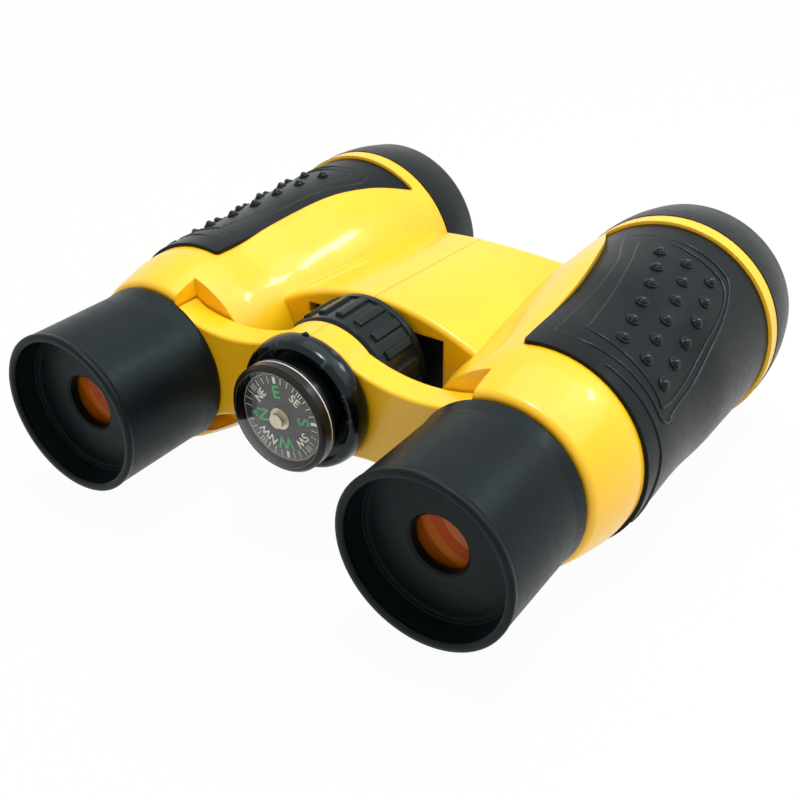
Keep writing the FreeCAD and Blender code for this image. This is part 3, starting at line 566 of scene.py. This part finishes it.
def eased(points):
    """A closed smooth line through the points."""
    count = len(points)
    line = []
    for index in range(count):
        a, b, c, d = (points[(index + step - 1) % count] for step in range(4))
        for step in range(STEPS_BETWEEN):
            t = step / STEPS_BETWEEN
            line.append(0.5 * ((2 * b) + (c - a) * t + (2 * a - 5 * b + 4 * c - d) * t ** 2
                               + (3 * b - 3 * c + d - a) * t ** 3))
    return line


def relief_line(name, runs, width, settings, closed=True):
    """Raised lines that lie partly in the surface they follow, and deeper where they fade.

    Each run is a list of points on the surface: the point, the normal and the share of fading.
    """
    curve = bpy.data.curves.new(name, "CURVE")
    curve.dimensions = "3D"
    curve.bevel_depth = width / 2
    curve.bevel_resolution = 2
    curve.use_fill_caps = True
    for hits in runs:
        spline = curve.splines.new("POLY")
        spline.points.add(len(hits) - 1)
        for place, (hit, normal, fade) in zip(spline.points, hits):
            sink = settings.line_sink + (settings.line_fade - settings.line_sink) * fade
            place.co = (*(hit + normal * width * (0.5 - sink)), 1.0)
        spline.use_cyclic_u = closed
    return new_piece(name, curve_mesh(curve, Matrix.Identity(4)))


def field_line(name, points, side, settings):
    """A closed line on top of a grip."""
    surface = grip_surface(side)
    low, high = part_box("grip_" + side)
    axis, sign = barrel_axis(side).x, outward(side)
    corners = [Vector((axis + sign * out * GRIP_REACH, low.y + (high.y - low.y) * along, 0))
               for along, out in points]
    above = Vector((0, 0, CLEAR))
    hits = []
    for point in eased(corners):
        out = sign * (point.x - axis)
        fade = min(max((FADE_END - out) / (FADE_END - FADE_START), 0.0), 1.0)
        hits.append((*strike(surface, point + above, -above), fade))
    return relief_line(name, [hits], settings.line_width, settings)


def hem_line(name, side, settings):
    """The open line round the rear of a grip, on its outer side."""
    surface = grip_surface(side)
    axis = barrel_axis(side)
    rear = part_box("eyecup_" + side)[0].y
    hits = []
    for (y, degrees), (next_y, next_degrees) in zip(HEM, HEM[1:]):
        for step in range(STEPS_BETWEEN):
            share = step / STEPS_BETWEEN
            out = way_out(side, math.radians(degrees + (next_degrees - degrees) * share))
            at = axis + Vector((0, rear + y + (next_y - y) * share, 0))
            hits.append((*strike(surface, at + out * CLEAR, -out), 0.0))
    return relief_line(name, [hits], settings.line_width, settings, closed=False)


def bumps(side):
    """For each bump of a grip: a point on the barrel's axis and the way out from there."""
    low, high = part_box("grip_" + side)
    spots = []
    for row in range(BUMP_ROWS):
        share = row / (BUMP_ROWS - 1)
        along = FRONT_ROW_SHARE + (REAR_ROW_SHARE - FRONT_ROW_SHARE) * share
        at = barrel_axis(side) + Vector((0, low.y + (high.y - low.y) * along, 0))
        middle_angle = (FRONT_ROW_ANGLE
                        + (REAR_ROW_ANGLE - FRONT_ROW_ANGLE) * share ** ROW_ANGLE_BEND)
        for column in range(BUMP_COLUMNS):
            turn = (column - (BUMP_COLUMNS - 1) / 2) * COLUMN_ANGLE
            spots.append((at, way_out(side, math.radians(middle_angle + turn))))
    return spots


def knobs(name, side, settings):
    """Small round knobs, one on each bump of a grip."""
    surface = grip_surface(side)
    shape = bmesh.new()
    for at, out in bumps(side):
        top = strike(surface, at + out * CLEAR, -out)[0]
        centre = top + out * (settings.knob_rise - settings.knob_radius)
        bmesh.ops.create_icosphere(shape, subdivisions=3, radius=settings.knob_radius,
                                   matrix=Matrix.Translation(centre))
    return new_piece(name, finished_mesh(name, shape, smooth=True))


def dish_rims(name, side, settings):
    """The low rim of the dish round each bump."""
    surface = grip_surface(side)
    runs = []
    for at, out in bumps(side):
        along = Vector((0, settings.dish_radius, 0))
        across = along.cross(out)
        turns = [math.tau * step / DISH_STEPS for step in range(DISH_STEPS)]
        runs.append([(*strike(surface, at + out * CLEAR + along * math.cos(turn)
                              + across * math.sin(turn), -out), 0.0) for turn in turns])
    return relief_line(name, runs, settings.dish_width, settings)


# Eyecup rims and the gate mark on the collar

# Section of the rim bead: distance from the rim plane and radius, in metres
RIM_SECTION = ((0.00110, 0.01314), (0.00045, 0.01326), (0.00012, 0.01324), (-0.00006, 0.01306),
               (-0.00010, 0.01270), (-0.00010, 0.01235), (-0.00002, 0.01208),
               (0.00022, 0.01194), (0.00070, 0.01193), (0.00090, 0.01250))
RIM_STEPS = 96
SAME_POINT = 0.000001

# The gate mark: its place along the collar, how far its middle lies under the top and its radii
GATE_SHARE, GATE_SINK = 0.8, 0.00005
GATE_RADII = (0.00050, 0.00035, 0.00045)
# What makes it uneven: how far its points move, and the waves per metre in radians
GATE_WAVE_ACROSS, GATE_WAVES_ALONG = 0.00012, 9000
GATE_WAVE_UP, GATE_WAVES_ACROSS = 0.00008, 14000


def rim_bead(side):
    """The rolled lip of an eyecup, turned about the barrel's axis."""
    axis = barrel_axis(side)
    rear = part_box("eyecup_" + side)[0].y
    shape = bmesh.new()
    ring = [shape.verts.new(axis + Vector((radius, rear + along, 0)))
            for along, radius in RIM_SECTION]
    section = [shape.edges.new((ring[index - 1], ring[index])) for index in range(len(ring))]
    bmesh.ops.spin(shape, geom=ring + section, cent=axis, axis=(0, 1, 0), angle=math.tau,
                   steps=RIM_STEPS, use_merge=True)
    bmesh.ops.remove_doubles(shape, verts=shape.verts, dist=SAME_POINT)
    name = "eyecup_rim_" + side
    return new_piece(name, finished_mesh(name, shape, smooth=True))


def gate_mark(name):
    """The stub that the moulding gate left on top of the collar."""
    low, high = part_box("compass_collar")
    shape = bmesh.new()
    place = (Matrix.Translation(((low.x + high.x) / 2, low.y + (high.y - low.y) * GATE_SHARE,
                                 high.z - GATE_SINK))
             @ Matrix.Diagonal((*GATE_RADII, 1)))
    bmesh.ops.create_icosphere(shape, subdivisions=3, radius=1.0, matrix=place)
    for vertex in shape.verts:
        vertex.co.x += GATE_WAVE_ACROSS * math.sin(vertex.co.y * GATE_WAVES_ALONG)
        vertex.co.z += GATE_WAVE_UP * math.sin(vertex.co.x * GATE_WAVES_ACROSS + 1.0)
    return new_piece(name, finished_mesh(name, shape))


# Compass print

# Marks of the dial: a block at each main point and three thin ticks half-way between two
DIAL_MARKS, MARKS_PER_QUARTER = 32, 8
# Angle between two of three ticks, in radians
TRIPLE_TURN = 0.068

# Letters with their degrees clockwise from north; weight is how much they are thickened, in
# shares of their height
MAIN_LETTERS = (("E", 90), ("S", 180), ("W", 270))
SMALL_LETTERS = (("NE", 45), ("SE", 135), ("SW", 225), ("NW", 315))
MAIN_WEIGHT, SMALL_WEIGHT = 0.018, 0.010


def dial_place(angle, radius, settings):
    """Where a mark drawn flat goes: on the card, its top outwards, clockwise from north."""
    centre = middle("compass_card")
    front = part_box("compass_card")[0].y
    stand = Matrix.Translation((centre.x, front, centre.z)) @ Matrix.Rotation(math.pi / 2, 4, "X")
    return (stand @ Matrix.Rotation(-(settings.turn + angle), 4, "Z")
            @ Matrix.Translation((0, radius, settings.ink)))


def dial_ticks(name, settings):
    """The ticks all round; the arrow takes the place of the one at north."""
    shape = bmesh.new()
    radius = settings.tick_outer - settings.tick_length / 2
    for mark in range(1, DIAL_MARKS):
        main_point = mark % MARKS_PER_QUARTER == 0
        half_way = mark % MARKS_PER_QUARTER == MARKS_PER_QUARTER // 2
        width = settings.block_width if main_point else settings.tick_width
        for turn in (-TRIPLE_TURN, 0, TRIPLE_TURN) if half_way else (0,):
            place = dial_place(math.tau * mark / DIAL_MARKS + turn, radius, settings)
            size = Matrix.Diagonal((width, settings.tick_length, settings.ink, 1))
            bmesh.ops.create_cube(shape, size=1.0, matrix=place @ size)
    return new_piece(name, finished_mesh(name, shape))


def dial_letters(name, texts, size, weight, settings):
    """Letters from their texts, degrees clockwise from north and distances from the middle."""
    shape = bmesh.new()
    for text, degrees, radius in texts:
        curve = bpy.data.curves.new(name, "FONT")
        curve.body = text
        curve.size = size
        curve.align_x = "CENTER"
        curve.align_y = "CENTER"
        curve.extrude = settings.ink / 2
        curve.offset = size * weight
        place = dial_place(math.radians(degrees), radius, settings)
        shape.from_mesh(curve_mesh(curve, place, centred=True))
    return new_piece(name, finished_mesh(name, shape))


def north_arrow(name, settings):
    """The triangle outside the N."""
    shape = bmesh.new()
    half = settings.arrow_width / 2
    corners = [shape.verts.new(point)
               for point in ((-half, 0, 0), (half, 0, 0), (0, settings.arrow_height, 0))]
    sides = bmesh.ops.extrude_face_region(shape, geom=[shape.faces.new(corners)])
    lifted = [part for part in sides["geom"] if isinstance(part, bmesh.types.BMVert)]
    bmesh.ops.translate(shape, verts=lifted, vec=(0, 0, settings.ink))
    bmesh.ops.transform(shape, verts=shape.verts, matrix=dial_place(
        0, settings.north_radius + settings.arrow_gap, settings))
    return new_piece(name, finished_mesh(name, shape))


# Studio

# Lamps: name, place, size, and the setting that holds its power
LAMPS = (
    ("overhead_panel", (0.0, 0.14, 0.60), (0.6, 0.5), "overhead_power"),
    ("right_panel", (0.42, 0.22, 0.50), (0.5, 0.4), "right_power"),
    ("small_softbox", (0.07, -0.02, 0.62), (0.11, 0.11), "small_power"),
    ("side_softbox", (0.35, 0.40, 0.51), (0.12, 0.07), "side_power"),
)
LAMP_TARGET = Vector((0, 0, 0.02))
FLOOR_HALF_WIDTH = 3.0
# Share of the floor's look that is plain white where it is seen directly
FLOOR_GLOW = 0.96
SENSOR_WIDTH = 36.0
NEAREST_SEEN, FARTHEST_SEEN = 0.01, 20.0


def seen_directly(tree):
    """1 for rays that show the background itself, in a mirror or through glass too."""
    rays = add_node(tree, "ShaderNodeLightPath").outputs
    total = rays["Is Camera Ray"]
    for kind in ("Is Glossy Ray", "Is Transmission Ray"):
        total = calculated(tree, "MAXIMUM", total, rays[kind])
    return total


def white_sweep(name):
    """A pale floor that shows mostly as the white background and keeps some shadow."""
    paper = Finish(name, roughness=0.9, specular=0.0)
    paper.colour((0.8, 0.8, 0.8, 1.0))
    glow = paper.add("ShaderNodeEmission")
    share = paper.calculate("MULTIPLY", seen_directly(paper.tree), FLOOR_GLOW)
    blend = paper.add("ShaderNodeMixShader", {0: share, 1: paper.shader.outputs[0],
                                              2: glow.outputs[0]})
    feed(paper.tree, paper.tree.nodes["Material Output"].inputs["Surface"], blend.outputs[0])
    return paper.material


def surround(strength, colour):
    """A white background that lights the object with a softer, warmer light."""
    world = bpy.data.worlds.new("surround")
    world.use_nodes = True
    tree = world.node_tree
    light = mixed(tree, seen_directly(tree), toned(colour, strength), WHITE)
    feed(tree, tree.nodes["Background"].inputs["Color"], light)
    return world


def panel_lamp(name, place, size, power):
    data = bpy.data.lights.new(name, "AREA")
    data.shape = "RECTANGLE"
    data.size, data.size_y = size
    data.energy = power
    lamp = new_piece(name, data)
    lamp.location = place
    lamp.rotation_euler = (LAMP_TARGET - Vector(place)).to_track_quat("-Z", "Y").to_euler()


def aimed_camera(settings):
    data = bpy.data.cameras.new("camera")
    data.sensor_width = SENSOR_WIDTH
    data.lens = settings.camera_lens
    data.clip_start, data.clip_end = NEAREST_SEEN, FARTHEST_SEEN
    camera = new_piece("camera", data)
    place, target = Vector(settings.camera_place), Vector(settings.camera_target)
    aim = (target - place).to_track_quat("-Z", "Y")
    roll = Matrix.Rotation(settings.camera_roll, 4, "Z")
    camera.matrix_world = Matrix.Translation(place) @ aim.to_matrix().to_4x4() @ roll
    return camera


# Operators

class FinishShell(bpy.types.Operator):
    """Gives the body halves and the eyepiece bridge their moulded yellow."""
    bl_idname = "toy_binoculars.finish_shell"
    bl_label = "Yellow shell"

    def execute(self, context):
        yellow = moulded_yellow(context.scene.toy_binoculars_finish)
        for side in SIDES:
            dress("body_" + side + "_half", yellow)
            dress("eyepiece_bridge_" + side, yellow)
        dress("assembly_screws", zinc_plate("screw_zinc"))
        return {"FINISHED"}


class FinishGrips(bpy.types.Operator):
    """Gives the grips their rubber, their raised lines, and the knobs and rims of their bumps."""
    bl_idname = "toy_binoculars.finish_grips"
    bl_label = "Rubber grips"

    def execute(self, context):
        scene = context.scene
        sizes = scene.toy_binoculars_relief
        black = scene.toy_binoculars_finish.rubber
        rubber = grained_plastic("grip_rubber", black, roughness=0.34, grain_per_metre=3500,
                                 grain_depth=0.000005, specular=0.08, edges=0.00012,
                                 coat=(0.08, 0.12))
        shiny = grained_plastic("grip_line_rubber", black, roughness=0.2, grain_per_metre=3500,
                                grain_depth=0.000002, specular=0.25, edges=0.0)
        glossy = grained_plastic("grip_knob_rubber", toned(black, 0.5), roughness=0.11,
                                 grain_per_metre=3500, grain_depth=0.000001, specular=0.4,
                                 edges=0.0)
        for side in SIDES:
            dress("grip_" + side, rubber)
            for piece in (field_line("grip_field_" + side, FIELD, side, sizes),
                          field_line("grip_border_" + side, BORDER, side, sizes),
                          hem_line("grip_hem_" + side, side, sizes),
                          dish_rims("grip_dishes_" + side, side, sizes)):
                paint(piece, shiny, HOUSING)
            paint(knobs("grip_knobs_" + side, side, sizes), glossy, HOUSING)
        return {"FINISHED"}


class FinishOptics(bpy.types.Operator):
    """Finishes the eyecups, the objective rings and all four lenses."""
    bl_idname = "toy_binoculars.finish_optics"
    bl_label = "Eyecups, rings and lenses"

    def execute(self, context):
        settings = context.scene.toy_binoculars_finish
        cup = grained_plastic("cup_plastic", settings.cup, roughness=0.4, specular=0.17)
        ring = grained_plastic("ring_plastic", settings.ring, roughness=0.35)
        amber = amber_lens("amber_lens", settings, opacity=0.7)
        axis = barrel_axis("right")
        eye = eye_lens(settings, axis.x, axis.z)
        for side in SIDES:
            dress("eyecup_" + side, cup)
            dress("objective_ring_" + side, ring)
            dress("objective_lens_" + side, amber)
            dress("eyepiece_lens_" + side, eye)
            paint(rim_bead(side), cup, EYEPIECES)
        return {"FINISHED"}


class FinishFocus(bpy.types.Operator):
    """Finishes the focus wheel and the metal pieces that it turns on."""
    bl_idname = "toy_binoculars.finish_focus"
    bl_label = "Focus wheel and screw"

    def execute(self, context):
        settings = context.scene.toy_binoculars_finish
        hub = middle("focus_wheel")
        dress("focus_wheel", grained_plastic("wheel_plastic", settings.wheel, roughness=0.2,
                                             grain_per_metre=3000, specular=0.26))
        dress("focus_bracket", grained_plastic("bracket_plastic", settings.ring, roughness=0.5,
                                               grain_per_metre=1500, grain_depth=0.00001))
        dress("focus_nut", turned_metal("nut_brass", from_screen(205, 168, 96), hub))
        steel = turned_metal("screw_steel", from_screen(170, 170, 168), hub)
        for node in ("focus_screw", "thrust_washer", "retaining_clip"):
            dress(node, steel)
        return {"FINISHED"}


class FinishCompass(bpy.types.Operator):
    """Finishes the compass and prints its card."""
    bl_idname = "toy_binoculars.finish_compass"
    bl_label = "Compass"

    def execute(self, context):
        scene = context.scene
        settings, dial = scene.toy_binoculars_finish, scene.toy_binoculars_dial
        hub = middle("compass_card")
        card_high, glass_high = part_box("compass_card")[1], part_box("compass_window")[1]
        collar = collar_gloss(settings)
        dress("compass_collar", collar)
        paint(gate_mark("collar_gate_mark"), collar, EYEPIECES)
        dress("compass_capsule", grained_plastic("capsule_gloss", settings.collar, roughness=0.2,
                                                 grain_per_metre=900, grain_depth=0.000005,
                                                 specular=0.3))
        dress("compass_window", clear_acrylic(hub, glass_high.x - hub.x, glass_high.y))
        dress("compass_card", dial_card(settings, card_high.x - hub.x, hub.x, hub.z))
        dress("card_bearing", turned_metal("cap_nickel", from_screen(206, 196, 168), hub))
        dress("compass_pivot", turned_metal("pivot_steel", from_screen(176, 176, 174), hub))
        dress("card_magnet", zinc_plate("magnet_zinc"))
        white, green = (grained_plastic(name, colour, roughness=0.5, grain_per_metre=3000)
                        for name, colour in (("print_white", settings.print_white),
                                             ("print_green", settings.print_green)))
        main_texts = [(text, degrees, dial.main_radius) for text, degrees in MAIN_LETTERS]
        main_texts.append(("N", 0, dial.north_radius))
        small_texts = [(text, degrees, dial.small_radius) for text, degrees in SMALL_LETTERS]
        mains = dial_letters("dial_main_letters", main_texts, dial.main_height, MAIN_WEIGHT, dial)
        smalls = dial_letters("dial_small_letters", small_texts, dial.small_height,
                              SMALL_WEIGHT, dial)
        for piece, ink in ((dial_ticks("dial_ticks", dial), white), (smalls, white),
                           (mains, green), (north_arrow("north_arrow", dial), green)):
            paint(piece, ink, CARD)
        return {"FINISHED"}


class BuildStudio(bpy.types.Operator):
    """Lays the pale floor, hangs the lamps and sets up the camera."""
    bl_idname = "toy_binoculars.build_studio"
    bl_label = "Studio"

    def execute(self, context):
        scene = context.scene
        settings = scene.toy_binoculars_studio
        shape = bmesh.new()
        bmesh.ops.create_grid(shape, x_segments=1, y_segments=1, size=FLOOR_HALF_WIDTH)
        floor = new_piece("floor", finished_mesh("floor", shape))
        floor.data.materials.append(white_sweep("floor_white"))
        for name, place, size, power in LAMPS:
            panel_lamp(name, place, size, getattr(settings, power))
        scene.world = surround(settings.ambient, settings.ambient_colour)
        scene.camera = aimed_camera(settings)
        scene.view_settings.view_transform = "Standard"
        return {"FINISHED"}


STEPS = (FinishShell, FinishGrips, FinishOptics, FinishFocus, FinishCompass, BuildStudio)


class ToyBinocularsPanel(bpy.types.Panel):
    """Lists the steps that dress the binoculars."""
    bl_idname = "VIEW3D_PT_toy_binoculars"
    bl_label = "Toy binoculars"
    bl_space_type = "VIEW_3D"
    bl_region_type = "UI"
    bl_category = "Toy binoculars"

    def draw(self, context):
        for step in STEPS:
            self.layout.operator(step.bl_idname)


SETTINGS = {
    "toy_binoculars_finish": FinishSettings,
    "toy_binoculars_dial": DialSettings,
    "toy_binoculars_relief": ReliefSettings,
    "toy_binoculars_studio": StudioSettings,
}


def register():
    for kind in (*SETTINGS.values(), *STEPS, ToyBinocularsPanel):
        bpy.utils.register_class(kind)
    for name, kind in SETTINGS.items():
        setattr(bpy.types.Scene, name, bpy.props.PointerProperty(type=kind))


def unregister():
    for name in SETTINGS:
        delattr(bpy.types.Scene, name)
    for kind in reversed((*SETTINGS.values(), *STEPS, ToyBinocularsPanel)):
        bpy.utils.unregister_class(kind)


def main():
    register()
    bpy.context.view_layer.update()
    for step in STEPS:
        group, action = step.bl_idname.split(".")
        getattr(getattr(bpy.ops, group), action)()


if __name__ == "__main__":
    main()
